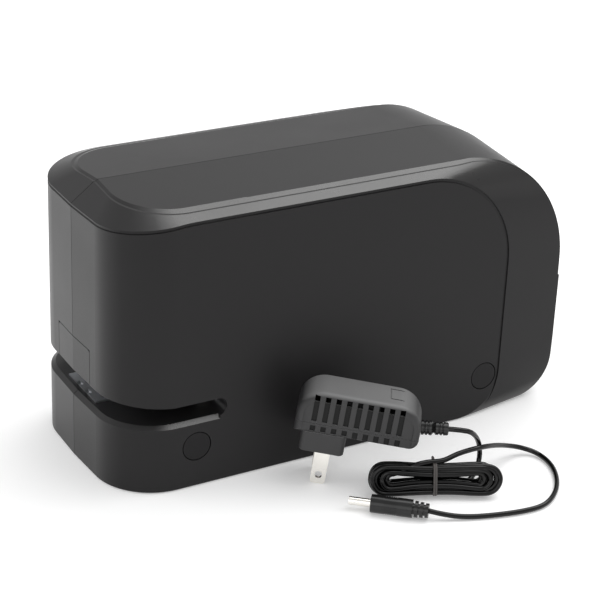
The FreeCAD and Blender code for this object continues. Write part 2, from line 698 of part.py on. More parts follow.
def left_frame_plate():
    pts = [(4.2, 58.5), (4.2, 108), (12, 114.5), (116, 114.5), (116, 72), (146, 72), (146, 26),
           (62, 26), (62, HEAD_FLOOR + 0.1), (9, HEAD_FLOOR + 0.1), (9, 58.5)]
    plate = plate_yz(pts, -FRAME_IN - FRAME_T, -FRAME_IN)
    return frame_holes(plate, -30, -10)


def right_frame_plate():
    pts = [(4.2, 58.5), (4.2, 108), (12, 114.5), (158, 114.5), (162, 108), (162, 84), (146, 70),
           (146, 26), (62, 26), (62, HEAD_FLOOR + 0.1), (9, HEAD_FLOOR + 0.1), (9, 58.5)]
    plate = frame_holes(plate_yz(pts, FRAME_IN, FRAME_IN + FRAME_T), 10, 30)
    y, z = CENTRES[3]
    plate = plate.cut(rod_x(y, z, 5.0, 10, 30))
    for (cy, cz), r in ((CENTRES[1], 2.0), (CENTRES[2], 1.5), (TRIGGER_PIVOT, 1.5)):
        plate = plate.cut(rod_x(cy, cz, r, 10, 30))
    for y, z in STANDOFFS:
        plate = plate.cut(rod_x(y, z, 1.2, 10, 30))
    return plate


def gearbox_plate():
    """Outer plate that carries the far ends of the gear axles."""
    pts = [(50.5, 84), (50.5, 96), (70, 116), (160, 116), (160, 100), (140, 78), (104, 68), (94, 68)]
    plate = plate_yz(pts, 37.0, 38.5)
    for (y, z), r in ((CENTRES[1], 2.0), (CENTRES[2], 1.5)):
        plate = plate.cut(rod_x(y, z, r, 30, 40))
    for y, z in STANDOFFS:
        plate = plate.cut(rod_x(y, z, 1.2, 30, 40))
    return plate


def frame_spacers():
    out = []
    for y, z in SPACERS:
        body = rod_x(y, z, 3.0, -FRAME_IN, FRAME_IN)
        out.append(fuse(body, rod_x(y, z, 1.5, -21.0, 21.0)))
    return out


def gearbox_standoffs():
    out = []
    for y, z in STANDOFFS:
        body = rod_x(y, z, 2.2, FRAME_IN + FRAME_T, 37.0)
        out.append(fuse(body, rod_x(y, z, 1.2, FRAME_IN, 39.5)))
    return out


# ---- electrics ----------------------------------------------------------------------------
TRIGGER_PIVOT = (55.5, 46.5)
BOARD_Z = 16.0


def paper_trigger():
    """Lever whose finger hangs in the end of the throat until the paper pushes it back."""
    pts = [(52.5, 49.0), (58.0, 49.5), (59.0, 46.5), (57.0, 43.5), (52.8, 43.2), (48.2, 33.0),
           (45.6, 31.6), (44.8, 33.2), (50.0, 45.0)]
    lever = plate_yz(pts, 24.6, 27.4)
    return lever.cut(rod_x(TRIGGER_PIVOT[0], TRIGGER_PIVOT[1], 1.55, 20, 30))


def paper_switch():
    body = box(23.0, 29.0, 61.5, 74.5, 43.6, 50.6)
    plunger = box(25.0, 27.0, 60.6, 61.5, 47.6, 49.2)
    legs = [box(25.4, 26.6, y, y + 0.6, 40.6, 43.6) for y in (63.5, 67.7, 72.0)]
    return fuse(body, plunger, *legs)


def home_switch():
    """Microswitch that stops the cam shaft at the top of its turn."""
    body = box(-26.5, -20.5, 86.5, 99.5, 102.0, 109.0)
    arm = plate_yz([(86.5, 102.0), (99.0, 102.0), (99.0, 101.4), (88.0, 101.2), (85.0, 101.9)],
                   -25.0, -22.0)
    return fuse(body, arm)


def circuit_board():
    board = box(-30, 30, 70, 170, BOARD_Z, BOARD_Z + 1.6)
    for x in (-24, 24):
        for y in (75.0, 165.0):
            board = board.cut(rod_z(x, y, 1.6, 10, 20))
    return board


def board_components():
    z = BOARD_Z + 1.6
    return [rod_z(-12, 95, 4.0, z, z + 8.0), rod_z(-12, 107, 4.0, z, z + 8.0),
            box(6, 22, 84, 96, z, z + 7.0), box(-4, 4, 120, 126, z, z + 2.0),
            box(8, 20, 118, 134, z, z + 3.0), box(-26, -14, 140, 146, z, z + 6.0),
            box(-6, 6, 140, 146, z, z + 6.0), box(14, 26, 140, 146, z, z + 6.0)]


def dc_jack():
    body = box(JACK_X - 5.5, JACK_X + 5.5, LENGTH - 18, LENGTH - 4.6, JACK_Z - 5.5, JACK_Z + 5.5)
    collar = rod_y(JACK_X, JACK_Z, 3.9, LENGTH - 4.6, LENGTH - 1.6)
    jack = fuse(body, collar).cut(rod_y(JACK_X, JACK_Z, 1.85, LENGTH - 14, LENGTH + 1))
    return fuse(jack, rod_y(JACK_X, JACK_Z, 0.6, LENGTH - 14, LENGTH - 3))


# ---- power adapter --------------------------------------------------------------------------
# It stands on the tips of its two blades.
AD_DEPTH = BLOCK_H + BLADE_LEN
AD_LEAN = math.radians(AD_TILT)
AD_Z = (BLADE_U + BLADE_W) * math.sin(AD_LEAN) + AD_DEPTH * math.cos(AD_LEAN)
AD_PLACE = V(AD_X, AD_Y, AD_Z)
AD_TURN = FreeCAD.Rotation(V(0, 0, 1), -AD_YAW).multiply(FreeCAD.Rotation(V(1, 0, 0), -AD_TILT))


def on_adapter(shape):
    """From the adapter's own axes (x width, y length, z up from its base) to its place."""
    out = shape.copy()
    out.Placement = FreeCAD.Placement(AD_PLACE, AD_TURN).multiply(out.Placement)
    return out


def adapter_outline(inset):
    """The adapter seen from its ribbed side: large rounded upper corners, soft edges."""
    a, b = inset, AD_LEN - inset
    low, top, r, foot_r = inset, AD_H - inset, 11.0 - inset, 4.0
    x0, x1 = -AD_HALF + inset, AD_HALF - inset
    k = math.sqrt(0.5)
    wire = Part.Wire([
        Part.makeLine(V(x0, a, low), V(x0, a, top - r)),
        Part.Arc(V(x0, a, top - r), V(x0, a + r - r * k, top - r + r * k),
                 V(x0, a + r, top)).toShape(),
        Part.makeLine(V(x0, a + r, top), V(x0, b - r, top)),
        Part.Arc(V(x0, b - r, top), V(x0, b - r + r * k, top - r + r * k),
                 V(x0, b, top - r)).toShape(),
        Part.makeLine(V(x0, b, top - r), V(x0, b, low + foot_r)),
        Part.Arc(V(x0, b, low + foot_r), V(x0, b - foot_r + foot_r * k, low + foot_r - foot_r * k),
                 V(x0, b - foot_r, low)).toShape(),
        Part.makeLine(V(x0, b - foot_r, low), V(x0, a, low))])
    body = Part.Face(wire).extrude(V(x1 - x0, 0, 0))
    soft = [e for e in body.Edges
            if e.BoundBox.XLength < 0.01 and e.BoundBox.ZMax > low + 0.1]
    return body.makeFillet(AD_EDGE - 0.6 * inset, soft)


def adapter_solid(inset):
    """Body and plug block as one closed shape, all faces moved in by inset."""
    x0, x1 = -AD_HALF + inset, AD_HALF - inset
    block = box(x0, x1, BLOCK_U + inset, BLOCK_U + BLOCK_LEN - inset, -BLOCK_H + inset, 4)
    uprights = [e for e in block.Edges if e.BoundBox.ZLength > 1]
    block = block.makeFillet(2.2, uprights)
    rims = [e for e in block.Edges if e.BoundBox.ZMax < -BLOCK_H + inset + 0.01]
    return fuse(adapter_outline(inset), block.makeFillet(1.0, rims))


def side_panels():
    """What is cut away at the two long sides: sunken panels, deeper in their upright grooves."""
    r = 6.0
    low, end = 0.9, AD_LEN - PANEL_IN
    block_end = BLOCK_U + BLOCK_LEN
    groove = RIB_PITCH / 2
    out = []
    for side in (-1, 1):
        x0, x1 = sorted((side * (AD_HALF - PANEL_DEPTH), side * (AD_HALF + 1)))
        corners = [rod_x(u, PANEL_V - r, r, x0, x1) for u in (PANEL_IN + r, end - r)]
        out.append(fuse(box(x0, x1, PANEL_IN, end, low, PANEL_V - r),
                        box(x0, x1, PANEL_IN + r, end - r, low, PANEL_V),
                        box(x0, x1, block_end + 1, end - 1, -1, low), *corners))
        g0, g1 = sorted((side * (AD_HALF - 2 * PANEL_DEPTH), side * (AD_HALF + 1)))
        for i in range(RIB_COUNT):
            u = RIB_START + RIB_PITCH * i
            foot = 1.4 if u < block_end else -1
            out.append(box(g0, g1, u, u + groove, foot, SEAM_V - 0.9))
            out.append(box(g0, g1, u, u + groove, SEAM_V + 1.0, PANEL_V + 1))
    return out


def adapter_hollow():
    shell = adapter_solid(0).cut(adapter_solid(AD_WALL))
    for panel in side_panels():
        shell = shell.cut(panel)
    return shell.cut(rod_y(0, EXIT_V, 2.55, AD_LEN - 4, AD_LEN + 8))


def adapter_upper(shell):
    """Upper half, with a vent slot over the shoulder above each groove of its two long sides."""
    upper = shell.common(box(-20, 20, -5, 70, SEAM_V + 0.15, 40))
    for side in (-1, 1):
        a, b = sorted((side * (AD_HALF - AD_WALL - 1.6), side * (AD_HALF + 1)))
        for i in range(RIB_COUNT):
            u = RIB_START + RIB_PITCH * i
            upper = upper.cut(box(a, b, u, u + RIB_PITCH / 2, PANEL_V - 0.6, AD_H - 1.3))
    frame = box(-5.6, 3.4, 37.0, 43.6, AD_H - 0.3, AD_H + 1)
    frame = frame.cut(box(-5.1, 2.9, 37.5, 43.1, 0, AD_H + 1))
    return on_adapter(upper.cut(frame))


def adapter_lower(shell):
    """Lower half with the plug block; the blades come through its underside."""
    lower = shell.common(box(-20, 20, -5, 70, -20, SEAM_V))
    for side in (-1, 1):
        x, t = side * BLADE_PITCH / 2, BLADE_T_PLUG / 2
        lower = lower.cut(box(x - t, x + t, BLADE_U, BLADE_U + BLADE_W, -20, -4))
    return on_adapter(lower)


def adapter_blades():
    out = []
    for side in (-1, 1):
        x, t = side * BLADE_PITCH / 2, BLADE_T_PLUG / 2
        blade = box(x - t, x + t, BLADE_U, BLADE_U + BLADE_W, -AD_DEPTH, -4.0)
        tip = [e for e in blade.Edges
               if e.BoundBox.ZMax < -AD_DEPTH + 0.1 and e.BoundBox.YLength < 0.01]
        blade = blade.makeChamfer(0.8, tip)
        hole = rod_x(BLADE_U + BLADE_W / 2, -AD_DEPTH + 4.2, 1.6, x - 2, x + 2)
        out.append(on_adapter(blade.cut(hole)))
    return out


def adapter_board():
    board = box(-7.5, 7.5, 5, 47, 3.0, 4.4)
    parts = [box(-6, 6, 20, 34, 4.4, 15.5), rod_z(-3, 41, 3.5, 4.4, 14.0),
             rod_z(4, 15, 3.0, 4.4, 14.0)]
    return on_adapter(fuse(board, *parts))


# The strain relief leaves the adapter level, so it is drawn on its own axis.
RELIEF_TURN = FreeCAD.Rotation(V(0, 0, 1), -AD_YAW)
RELIEF_ROOT = AD_PLACE.add(AD_TURN.multVec(V(0, AD_LEN - AD_WALL / 2, EXIT_V)))


def relief_point(u):
    """A point on the strain relief's axis, u from where that leaves the adapter's end."""
    return RELIEF_ROOT.add(RELIEF_TURN.multVec(V(0, u + AD_WALL / 2, 0)))


def adapter_strain_relief():
    """Two ribbed grips with a deep notch between them, turned round the cord."""
    root, notch, end = -AD_WALL / 2 - 1.5, 5.7, RELIEF_LEN
    profile = [(root, 0), (root, 2.35), (0.4, 2.35), (0.4, 3.1)]
    for u in (1.5, 3.0):
        profile += [(u, 3.1), (u + 0.2, 2.6), (u + 0.5, 2.6), (u + 0.7, 3.1)]
    profile += [(4.8, 3.1), (notch, 1.9), (notch + 0.8, 2.8)]
    for u in (7.6, 9.1):
        profile += [(u, 2.8), (u + 0.2, 2.35), (u + 0.5, 2.35), (u + 0.7, 2.8)]
    profile += [(end - 0.4, 2.7), (end, 2.3), (end, 0)]
    loop = [V(0, u + AD_WALL / 2, r) for u, r in profile]
    body = Part.Face(Part.makePolygon(loop + [loop[0]])).revolve(V(0, 0, 0), V(0, 1, 0), 360)
    body.Placement = FreeCAD.Placement(RELIEF_ROOT, RELIEF_TURN)
    return body


# ---- cord -----------------------------------------------------------------------------------
# Route points: from the adapter down behind the wound-up cord, and from its top to the plug.
LEAD_IN = [tuple(relief_point(RELIEF_LEN)), tuple(relief_point(RELIEF_LEN + 5.2)),
           (93.8, 139.7, 24.1), (89.0, 147.0, 15.0), (89.7, 147.4, 7.3), (93.6, 142.0, 2.3),
           (96.8, 134.2, 1.9)]
LEAD_OUT = [(95.2, 124.3, 14.9), (93.4, 132.4, 15.4), (92.9, 140.0, 15.4), (92.2, 147.0, 14.7),
            (87.8, 156.6, 10.8), (84.0, 165.8, 6.5), (83.4, 174.4, 3.0), (88.6, 179.6, 1.5),
            (98.5, 179.3, 1.3), (109.5, 174.3, 1.3), (118.9, 166.3, 1.3), (125.0, 156.5, 1.3),
            (124.9, 146.0, 1.3), (122.2, 133.5, 1.3), (118.6, 122.6, 1.3), (114.6, 114.2, 2.2),
            PLUG_END]


def tube(points, radius, name):
    """Straight runs joined by tangent arcs; prints the arc radii."""
    pts = [V(*p) for p in points]
    runs = [pts[i + 1].sub(pts[i]).Length for i in range(len(pts) - 1)]
    edges, here, radii = [], pts[0], []
    for i in range(1, len(pts) - 1):
        a = pts[i - 1].sub(pts[i])
        b = pts[i + 1].sub(pts[i])
        a.normalize()
        b.normalize()
        turn = math.pi - a.getAngle(b)
        cut = 0.45 * min(runs[i - 1], runs[i])
        r = cut / math.tan(turn / 2)
        radii.append(round(r, 1))
        p, q = pts[i].add(a * cut), pts[i].add(b * cut)
        inward = a.add(b)
        inward.normalize()
        centre = pts[i].add(inward * math.hypot(cut, r))
        mid = centre.sub(inward * r)
        edges.append(Part.makeLine(here, p))
        edges.append(Part.Arc(p, mid, q).toShape())
        here = q
    edges.append(Part.makeLine(here, pts[-1]))
    path = Part.Wire(edges)
    start = pts[1].sub(pts[0])
    section = Part.Wire(Part.makeCircle(radius, pts[0], start))
    solid = path.makePipeShell([section], True, False)
    share = solid.Volume / (math.pi * radius * radius * path.Length)
    print(name, "length", round(path.Length, 1), "radii", radii, "volume share", round(share, 4))
    return solid


def on_hank(shape):
    """From the wound-up cord's own axes (x depth, y length, z height) to its place."""
    turn = math.degrees(math.atan2(-HANK_DIR[0], HANK_DIR[1]))
    rotation = FreeCAD.Rotation(V(0, 0, 1), turn).multiply(FreeCAD.Rotation(V(0, 1, 0), -HANK_LEAN))
    out = shape.copy()
    out.Placement = FreeCAD.Placement(V(*HANK_MID), rotation)
    return out


def cord_hank():
    """Outer shape of the wound cord: a bar with round ends and soft edges, on its edge."""
    r, t = HANK_H / 2, HANK_T / 2
    end = HANK_LEN / 2 - r
    hank = fuse(box(-t, t, -end, end, -r, r), rod_x(-end, 0, r, -t, t), rod_x(end, 0, r, -t, t))
    rims = [e for e in hank.Edges if e.BoundBox.XLength < 0.01]
    return on_hank(hank.makeFillet(2.0, rims))


def rounded_bar(t, r, corner, reach):
    bar = box(-t, t, -reach, reach, -r, r)
    return bar.makeFillet(corner, [e for e in bar.Edges if e.BoundBox.YLength > 0.01])


def cord_tie():
    """Thin band round the middle of the wound cord."""
    r, t, thick, reach = HANK_H / 2, HANK_T / 2, 0.5, 0.7
    outer = rounded_bar(t + thick, r + thick, 2.0 + thick, reach)
    return on_hank(outer.cut(rounded_bar(t, r, 2.0, reach + 1)))


def plug_part(shape):
    """Parts of the DC plug are drawn along +Y from the point where the cord enters."""
    out = shape.copy()
    turn = FreeCAD.Rotation(V(0, 1, 0), V(*PLUG_DIR))
    out.Placement = FreeCAD.Placement(V(*PLUG_END), turn).multiply(out.Placement)
    return out


def dc_plug_grip():
    relief = fuse(rod_y(0, 0, 2.3, 0, 7.0), rod_y(0, 0, 3.0, 0.0, 1.4), rod_y(0, 0, 3.2, 2.2, 3.6),
                  rod_y(0, 0, 3.4, 4.4, 5.8))
    grip = rod_y(0, 0, PLUG_R, 6.6, 23.8)
    for i in range(6):
        y = 13.0 + 0.9 * i
        grip = grip.cut(rod_y(0, 0, PLUG_R + 1, y, y + 0.45).cut(rod_y(0, 0, PLUG_R - 0.3, y - 1, y + 2)))
    return plug_part(fuse(relief, grip).cut(rod_y(0, 0, 1.75, 20, 30)))


def dc_plug_barrel():
    barrel = rod_y(0, 0, 1.75, 20.0, 33.0).cut(rod_y(0, 0, 0.65, 22.0, 40))
    return plug_part(barrel)


def main():
    base = shell_half()
    right = right_shell(base).cut(anvil_seat())
    left = left_shell(base).cut(anvil_seat())
    hollow = adapter_hollow()
    nodes = {
        "right_shell": right, "left_shell": left, "screw_covers": screw_covers(),
        "case_screws": case_screws(), "rubber_feet": rubber_feet(), "anvil": anvil(),
        "nose_plate": nose_plate(), "magazine_front": magazine_front(),
        "magazine_channel": magazine_channel(), "staple_strip": staple_strip(),
        "staple_pusher": staple_pusher(), "pusher_rod": pusher_rod(),
        "pusher_spring": pusher_spring(), "magazine_guide": magazine_guide(),
        "magazine_latch": magazine_latch(), "release_button": release_button(),
        "release_rod": release_rod(), "driver_blade": driver_blade(), "ram_carrier": ram_carrier(),
        "ram_pin": ram_pin(), "driver_guide_plate": driver_guide_plate(),
        "ram_guides": ram_guides(), "hammer_arm": hammer_arm(), "arm_roller": arm_roller(),
        "roller_axle": roller_axle(), "arm_return_spring": arm_return_spring(),
        "pivot_pins": pivot_pins(), "cam": cam(), "cam_shaft": cam_shaft(),
        "cam_bushes": cam_bushes(), "cam_gear": cam_gear(), "second_gear": second_gear(),
        "first_gear": first_gear(), "gear_axles": gear_axles(), "motor_can": motor_can(),
        "motor_shaft": motor_shaft(), "motor_pinion": motor_pinion(),
        "left_frame_plate": left_frame_plate(), "right_frame_plate": right_frame_plate(),
        "gearbox_plate": gearbox_plate(), "frame_spacers": frame_spacers(),
        "gearbox_standoffs": gearbox_standoffs(), "circuit_board": circuit_board(),
        "board_components": board_components(), "paper_trigger": paper_trigger(),
        "paper_switch": paper_switch(), "home_switch": home_switch(), "dc_jack": dc_jack(),
        "adapter_upper": adapter_upper(hollow), "adapter_lower": adapter_lower(hollow),
        "adapter_blades": adapter_blades(), "adapter_board": adapter_board(),
        "adapter_strain_relief": adapter_strain_relief(),
        "cord_from_adapter": tube(LEAD_IN, CORD_D / 2, "cord_from_adapter"),
        "cord_hank": cord_hank(), "cord_tie": cord_tie(),
        "cord_to_plug": tube(LEAD_OUT, CORD_D / 2, "cord_to_plug"),
        "dc_plug_grip": dc_plug_grip(), "dc_plug_barrel": dc_plug_barrel(),
    }
    print("cord leaves the strain relief at", LEAD_IN[0])
    for name, shape in nodes.items():
        if isinstance(shape, list):
            shape = Part.makeCompound(shape)
        shape.translate(V(0, -LENGTH / 2, 0))
        solids = shape.Solids
        box_ = shape.BoundBox
        print(f"{name:24s} solids {len(solids)} valid {shape.isValid()} vol {shape.Volume:10.1f} "
              f"x {box_.XMin:.1f}..{box_.XMax:.1f} y {box_.YMin:.1f}..{box_.YMax:.1f} "
              f"z {box_.ZMin:.2f}..{box_.ZMax:.1f}")
        shape.exportStep(f"parts/{name}.step")


main()
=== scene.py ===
import math
import random

import bpy
from mathutils import Matrix, Vector


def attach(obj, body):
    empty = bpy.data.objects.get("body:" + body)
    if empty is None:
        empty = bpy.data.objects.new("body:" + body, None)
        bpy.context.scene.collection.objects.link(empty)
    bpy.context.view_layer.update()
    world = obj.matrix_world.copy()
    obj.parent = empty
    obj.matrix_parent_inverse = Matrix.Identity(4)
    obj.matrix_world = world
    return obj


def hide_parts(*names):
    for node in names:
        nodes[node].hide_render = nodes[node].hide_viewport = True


# Looks of the electric stapler and its power adapter.  Metres, in the frame of the CAD model:
# origin on the desk under the middle of the casing, front towards -Y, +Z up.

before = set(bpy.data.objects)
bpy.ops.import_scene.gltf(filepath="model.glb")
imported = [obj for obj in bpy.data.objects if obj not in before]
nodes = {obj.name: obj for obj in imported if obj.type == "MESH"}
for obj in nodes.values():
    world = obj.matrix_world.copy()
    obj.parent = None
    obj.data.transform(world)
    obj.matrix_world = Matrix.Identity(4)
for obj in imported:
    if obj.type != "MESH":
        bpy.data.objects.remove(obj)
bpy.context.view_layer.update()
rng = random.Random(7)
MM = 0.001
MIDDLE = 110.0          # the design's y = 0 is the front ridge; the frame's is the casing's middle


def place(x, y, z):
    """A design point in millimetres, as a point of the frame in metres."""
    return Vector((x * MM, (y - MIDDLE) * MM, z * MM))


# ---- camera ---------------------------------------------------------------------------------
CAMERA_AT = (650.0, -278.7, 404.9)
CAMERA_RIGHT = Vector((0.4963, 0.8673, 0.0381)).normalized()
CAMERA_UP = Vector((-0.3847, 0.1804, 0.9052))
SENSOR_MM = 36.0
LENS_MM = 113.38

back = CAMERA_RIGHT.cross(CAMERA_UP).normalized()
up = back.cross(CAMERA_RIGHT)
camera_data = bpy.data.cameras.new("camera")
camera_data.sensor_width = SENSOR_MM
camera_data.lens = LENS_MM
camera_data.clip_start, camera_data.clip_end = 0.05, 20.0
camera = bpy.data.objects.new("camera", camera_data)
bpy.context.scene.collection.objects.link(camera)
turn = Matrix((CAMERA_RIGHT, up, back)).transposed().to_4x4()
camera.matrix_world = Matrix.Translation(place(*CAMERA_AT)) @ turn
bpy.context.scene.camera = camera


# ---- cord -----------------------------------------------------------------------------------
CORD_D = 2.2
# where the cord leaves the adapter's strain relief, and the way down behind the wound-up cord
LEAD_IN = [(90.4, 129.28, 26.52), (93.31, 133.59, 26.52), (93.8, 139.7, 24.1), (89.0, 147.0, 15.0),
           (89.7, 147.4, 7.3), (93.6, 142.0, 2.3), (96.8, 134.2, 1.9)]
# from the top of the hank, over its end and round to the plug
LEAD_OUT = [(95.2, 124.3, 14.9), (93.4, 132.4, 15.4), (92.9, 140.0, 15.4), (92.2, 147.0, 14.7),
            (87.8, 156.6, 10.8), (84.0, 165.8, 6.5), (83.4, 174.4, 3.0), (88.6, 179.6, 1.5),
            (98.5, 179.3, 1.3), (109.5, 174.3, 1.3), (118.9, 166.3, 1.3), (125.0, 156.5, 1.3),
            (124.9, 146.0, 1.3), (122.2, 133.5, 1.3), (118.6, 122.6, 1.3), (114.6, 114.2, 2.2),
            (110.8, 107.9, 3.9)]
HANK_MID = Vector((94.98, 120.8, 7.6))
ALONG = Vector((0.428, 0.9038, 0.0))            # the hank stands on its edge, leaning 15 degrees
ACROSS = Vector((0.9038, -0.428, 0.0))
LEAN = math.radians(15)
UPWARD = math.cos(LEAN) * Vector((0, 0, 1)) - math.sin(LEAN) * ACROSS
OUTWARD = math.cos(LEAN) * ACROSS + math.sin(LEAN) * Vector((0, 0, 1))
DESK_GAP = 1.15                                 # lowest place for the middle of the cord


def hank_place(along, height, depth):
    """Design point from its place in the hank, measured from the hank's middle."""
    x, y, z = HANK_MID + along * ALONG + height * UPWARD + depth * OUTWARD
    return (x, y, max(z, DESK_GAP))


# Four nested loops, each in three layers.  Per loop: its tip, the radius of its round ends, its half
# height under the tie, and how far its layers are moved in depth so that it lies between its neighbours.
LOOPS = [(20.2, 2.4, 0.95, -0.55), (22.4, 3.5, 2.4, 0.55), (24.6, 4.6, 3.85, -0.55), (26.8, 5.7, 5.2, 0.55)]
LAYERS = (-2.2, 0.0, 2.2)
FLARE = 1.3                     # the layers stand this much further apart at the ends
LEG = (17.0, 9.0, 0.0, -9.0, -17.0)
ROUND = (-60.0, 0.0, 60.0)
REACH = 0.875                   # the curve's radius over the radius of its control points
HALF_TURN = len(LEG) + len(ROUND)
FIRST_TURN_STARTS = 3           # the lead-in joins the first turn at this point
LAST_TURN_ENDS = 9              # the lead-out leaves the last turn at this point


def turn_points(loop, layer, next_loop, next_layer):
    """One turn: bottom leg, far end, top leg, near end; it ends on its way to the next turn."""
    stations = ([("leg", -1, a) for a in LEG] + [("end", -1, a) for a in ROUND]
                + [("leg", 1, -a) for a in LEG] + [("end", 1, -a) for a in ROUND])
    tip_shift = {side: rng.uniform(-0.5, 0.5) for side in (-1, 1)}
    for i, (kind, side, value) in enumerate(stations):
        blend = max(0.0, (i - HALF_TURN) / HALF_TURN)
        tip, radius, pinched, between = (a + (b - a) * blend for a, b in zip(loop, next_loop))
        depth = (layer + (next_layer - layer) * blend) + between
        if kind == "leg":
            spread = min(1.0, abs(value) / LEG[0]) ** 2
            along, height = value, side * (pinched + (radius - pinched) * spread)
        else:
            spread, angle = 1.0, math.radians(value)
            along = side * (tip - radius + radius / REACH * math.cos(angle) + tip_shift[side])
            height = radius / REACH * math.sin(angle)
        depth *= 1 + (FLARE - 1) * spread
        yield hank_place(along + rng.uniform(-0.25, 0.25), height + rng.uniform(-0.12, 0.12),
                         depth + rng.uniform(-0.12, 0.12))


def hank_points():
    """Control points of the wound turns, from the back layer to the front one."""
    order = [(loop, layer) for k, layer in enumerate(LAYERS)
             for loop in (LOOPS[::-1] if k % 2 == 0 else LOOPS)]
    points = [hank_place(5.0, -5.2, -4.6)]
    for k, (loop, layer) in enumerate(order):
        following = order[min(k + 1, len(order) - 1)]
        turn = list(turn_points(loop, layer, *following))
        if k == 0:
            turn = turn[FIRST_TURN_STARTS:]
        if k == len(order) - 1:
            turn = turn[:LAST_TURN_ENDS]
        points += turn
    return points + [hank_place(-9.0, 6.4, 2.6), hank_place(-2.5, 7.5, 1.4)]


cord_points = LEAD_IN + hank_points() + LEAD_OUT
curve = bpy.data.curves.new("cord", "CURVE")
curve.dimensions = "3D"
spline = curve.splines.new("NURBS")
spline.points.add(len(cord_points) - 1)
for point, target in zip(spline.points, cord_points):
    point.co = (*place(*target), 1.0)
spline.order_u = 3
spline.use_endpoint_u = True
spline.resolution_u = 6
curve.bevel_depth = CORD_D / 2 * MM
curve.bevel_resolution = 4
curve.use_fill_caps = True
cord = bpy.data.objects.new("cord", curve)
bpy.context.scene.collection.objects.link(cord)


# ---- materials ------------------------------------------------------------------------------
def new_material(name):
    material = bpy.data.materials.new(name)
    material.use_nodes = True
    tree = material.node_tree
    tree.nodes.clear()
    out = tree.nodes.new("ShaderNodeOutputMaterial")
    shader = tree.nodes.new("ShaderNodeBsdfPrincipled")
    tree.links.new(shader.outputs["BSDF"], out.inputs["Surface"])
    return material, tree, shader


def coordinates(tree):
    return tree.nodes.new("ShaderNodeTexCoord").outputs["Object"]


def noise(tree, where, scale, detail=4.0, rough=0.55):
    node = tree.nodes.new("ShaderNodeTexNoise")
    node.inputs["Scale"].default_value = scale
    node.inputs["Detail"].default_value = detail
    node.inputs["Roughness"].default_value = rough
    tree.links.new(where, node.inputs["Vector"])
    return node.outputs["Fac"]


def mapped(tree, value, low, high, from_low=0.3, from_high=0.7):
    node = tree.nodes.new("ShaderNodeMapRange")
    node.inputs["From Min"].default_value = from_low
    node.inputs["From Max"].default_value = from_high
    node.inputs["To Min"].default_value = low
    node.inputs["To Max"].default_value = high
    tree.links.new(value, node.inputs["Value"])
    return node.outputs["Result"]


def mixed(tree, factor, first, second):
    node = tree.nodes.new("ShaderNodeMix")
    node.data_type = "RGBA"
    tree.links.new(factor, node.inputs["Factor"])
    node.inputs["A"].default_value = (*first, 1)
    node.inputs["B"].default_value = (*second, 1)
    return node.outputs["Result"]


def bumped_normal(tree, height, strength, distance):
    node = tree.nodes.new("ShaderNodeBump")
    node.inputs["Strength"].default_value = strength
    node.inputs["Distance"].default_value = distance
    tree.links.new(height, node.inputs["Height"])
    return node.outputs["Normal"]


def bump(tree, shader, height, strength, distance):
    tree.links.new(bumped_normal(tree, height, strength, distance), shader.inputs["Normal"])


def plastic(name, dark, light, rough, grain=2400.0, strength=0.12, specular=0.5, patch=60.0):
    """Moulded plastic: fine mould texture, and slow changes of shade and gloss."""
    material, tree, shader = new_material(name)
    where = coordinates(tree)
    slow = noise(tree, where, patch)
    fine = noise(tree, where, grain, 3.0)
    tree.links.new(mixed(tree, slow, dark, light), shader.inputs["Base Color"])
    tree.links.new(mapped(tree, slow, rough - 0.03, rough + 0.04), shader.inputs["Roughness"])
    bump(tree, shader, fine, strength, 0.1 * MM)
    shader.inputs["Specular IOR Level"].default_value = specular
    return material


def metal(name, dark, light, rough, stretch=(40.0, 900.0, 900.0), strength=0.08):
    """Drawn or ground metal: long fine lines along X."""
    material, tree, shader = new_material(name)
    where = coordinates(tree)
    scaled = tree.nodes.new("ShaderNodeMapping")
    scaled.inputs["Scale"].default_value = stretch
    tree.links.new(where, scaled.inputs["Vector"])
    lines = noise(tree, scaled.outputs["Vector"], 1.0, 5.0)
    slow = noise(tree, where, 45.0)
    tree.links.new(mixed(tree, lines, dark, light), shader.inputs["Base Color"])
    tree.links.new(mapped(tree, slow, rough - 0.06, rough + 0.08), shader.inputs["Roughness"])
    bump(tree, shader, lines, strength, 0.05 * MM)
    shader.inputs["Metallic"].default_value = 1.0
    return material


def principled(tree, base, gloss, normal, specular):
    shader = tree.nodes.new("ShaderNodeBsdfPrincipled")
    tree.links.new(base, shader.inputs["Base Color"])
    tree.links.new(gloss, shader.inputs["Roughness"])
    tree.links.new(normal, shader.inputs["Normal"])
    shader.inputs["Specular IOR Level"].default_value = specular
    return shader.outputs["BSDF"]


def mix_shaders(tree, factor, first, second):
    mix = tree.nodes.new("ShaderNodeMixShader")
    tree.links.new(factor, mix.inputs["Fac"])
    tree.links.new(first, mix.inputs[1])
    tree.links.new(second, mix.inputs[2])
    return mix.outputs["Shader"]


def math_node(tree, operation, a, b=None):
    node = tree.nodes.new("ShaderNodeMath")
    node.operation = operation
    for socket, value in zip(node.inputs, (a, b)):
        if value is not None:
            tree.links.new(value, socket)
    return node.outputs["Value"]


